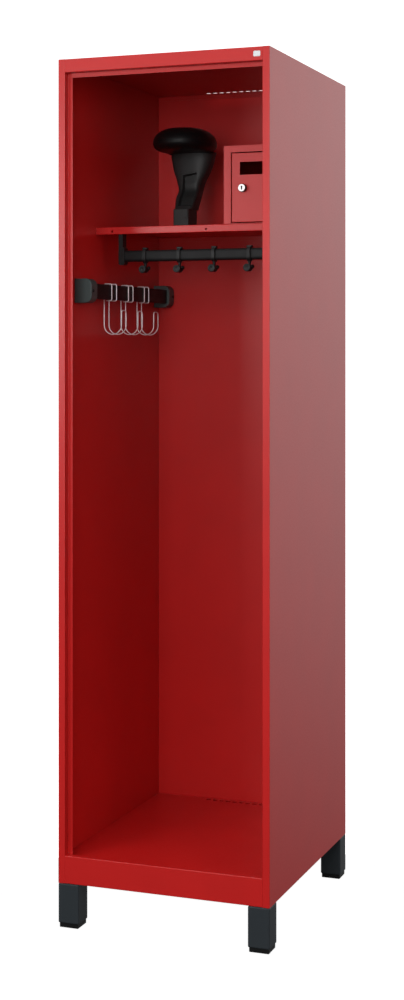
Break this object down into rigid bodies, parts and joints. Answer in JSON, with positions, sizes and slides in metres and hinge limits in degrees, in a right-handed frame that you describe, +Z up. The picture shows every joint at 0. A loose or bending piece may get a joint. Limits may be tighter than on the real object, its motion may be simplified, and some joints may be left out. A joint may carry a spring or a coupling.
{
  "type": "fire brigade locker",
  "caption": "Open-front sheet-steel gear locker on square feet, with helmet holder, lockable valuables box, coat rail and side bar with sliding hooks.",
  "frame": {"origin": "on the ground under the middle of the body", "axes": "+Z up, the open front faces -Y, +X to the right of a person who stands in front of it"},
  "size_m": [0.5, 0.6, 1.95],
  "materials": {
    "red_paint": "gloss powder coat, signal red",
    "shelf_paint": "gloss powder coat, signal red",
    "anthracite_paint": "satin powder coat, anthracite",
    "black_plastic": "fine texture, black",
    "satin_plastic": "satin, dark anthracite",
    "chrome": "bright chrome",
    "zinc": "zinc plated",
    "pale_plate": "plain pale grey"
  },
  "bodies": {
    "root": {"left_side_panel": "red_paint", "right_side_panel": "red_paint", "back_panel": "red_paint", "header": "red_paint", "base_rail": "red_paint", "roof_panel": "red_paint", "floor_panel": "red_paint", "corner_gusset_front_left": "red_paint", "corner_gusset_front_right": "red_paint", "corner_gusset_rear_left": "red_paint", "corner_gusset_rear_right": "red_paint", "shelf": "shelf_paint", "shelf_support_left": "shelf_paint", "shelf_support_right": "shelf_paint", "valuables_box": "shelf_paint", "latch_strip": "shelf_paint", "pivot_bracket": "shelf_paint", "foot_tube_front_left": "anthracite_paint", "foot_tube_front_right": "anthracite_paint", "foot_tube_rear_left": "anthracite_paint", "foot_tube_rear_right": "anthracite_paint", "foot_cap_front_left": "black_plastic", "foot_cap_front_right": "black_plastic", "foot_cap_rear_left": "black_plastic", "foot_cap_rear_right": "black_plastic", "pivot_bush": "black_plastic", "rail_bracket_left": "black_plastic", "rail_bracket_right": "black_plastic", "helmet_rest": "black_plastic", "coat_rail": "satin_plastic", "bar_console_front": "satin_plastic", "bar_console_rear": "satin_plastic", "side_bar": "satin_plastic", "holder_base": "satin_plastic", "holder_latch": "satin_plastic", "holder_column": "satin_plastic", "foot_bolt_front_left": "zinc", "foot_bolt_front_right": "zinc", "foot_bolt_rear_left": "zinc", "foot_bolt_rear_right": "zinc", "door_pivot_rod": "zinc", "bracket_screw_left": "zinc", "bracket_screw_right": "zinc", "console_screw_front": "zinc", "console_screw_rear": "zinc", "holder_screw": "zinc", "blank_plate": "pale_plate"},
    "box_door": {"box_door": "shelf_paint", "lock_housing": "black_plastic", "lock_nut": "zinc"},
    "lock_plug": {"lock_plug": "chrome", "lock_cam": "zinc", "cam_screw": "zinc"},
    "rail_hook_1": {"rail_hook_1": "black_plastic"},
    "rail_hook_2": {"rail_hook_2": "black_plastic"},
    "rail_hook_3": {"rail_hook_3": "black_plastic"},
    "rail_hook_4": {"rail_hook_4": "black_plastic"},
    "wire_hook_1": {"wire_hook_1": "chrome"},
    "wire_hook_2": {"wire_hook_2": "chrome"},
    "wire_hook_3": {"wire_hook_3": "chrome"}
  },
  "joints": [
    {"name": "box_door_hinge", "type": "hinge", "parent": "root", "child": "box_door", "pos_m": [0.2247, -0.0905, 1.667], "axis": [0, 0, 1], "range_deg": [0, 90]},
    {"name": "lock_turn", "type": "hinge", "parent": "box_door", "child": "lock_plug", "pos_m": [0.1187, -0.095, 1.667], "axis": [0, 1, 0], "range_deg": [0, 90]},
    {"name": "rail_hook_1_slide", "type": "slide", "parent": "root", "child": "rail_hook_1", "axis": [1, 0, 0], "range_m": [-0.041, 0.032]},
    {"name": "rail_hook_2_slide", "type": "slide", "parent": "root", "child": "rail_hook_2", "axis": [1, 0, 0], "range_m": [-0.032, 0.032]},
    {"name": "rail_hook_3_slide", "type": "slide", "parent": "root", "child": "rail_hook_3", "axis": [1, 0, 0], "range_m": [-0.032, 0.032]},
    {"name": "rail_hook_4_slide", "type": "slide", "parent": "root", "child": "rail_hook_4", "axis": [1, 0, 0], "range_m": [-0.032, 0.041]},
    {"name": "wire_hook_1_slide", "type": "slide", "parent": "root", "child": "wire_hook_1", "axis": [0, 1, 0], "range_m": [-0.088, 0.033]},
    {"name": "wire_hook_2_slide", "type": "slide", "parent": "root", "child": "wire_hook_2", "axis": [0, 1, 0], "range_m": [-0.033, 0.033]},
    {"name": "wire_hook_3_slide", "type": "slide", "parent": "root", "child": "wire_hook_3", "axis": [0, 1, 0], "range_m": [-0.033, 0.118]}
  ]
}
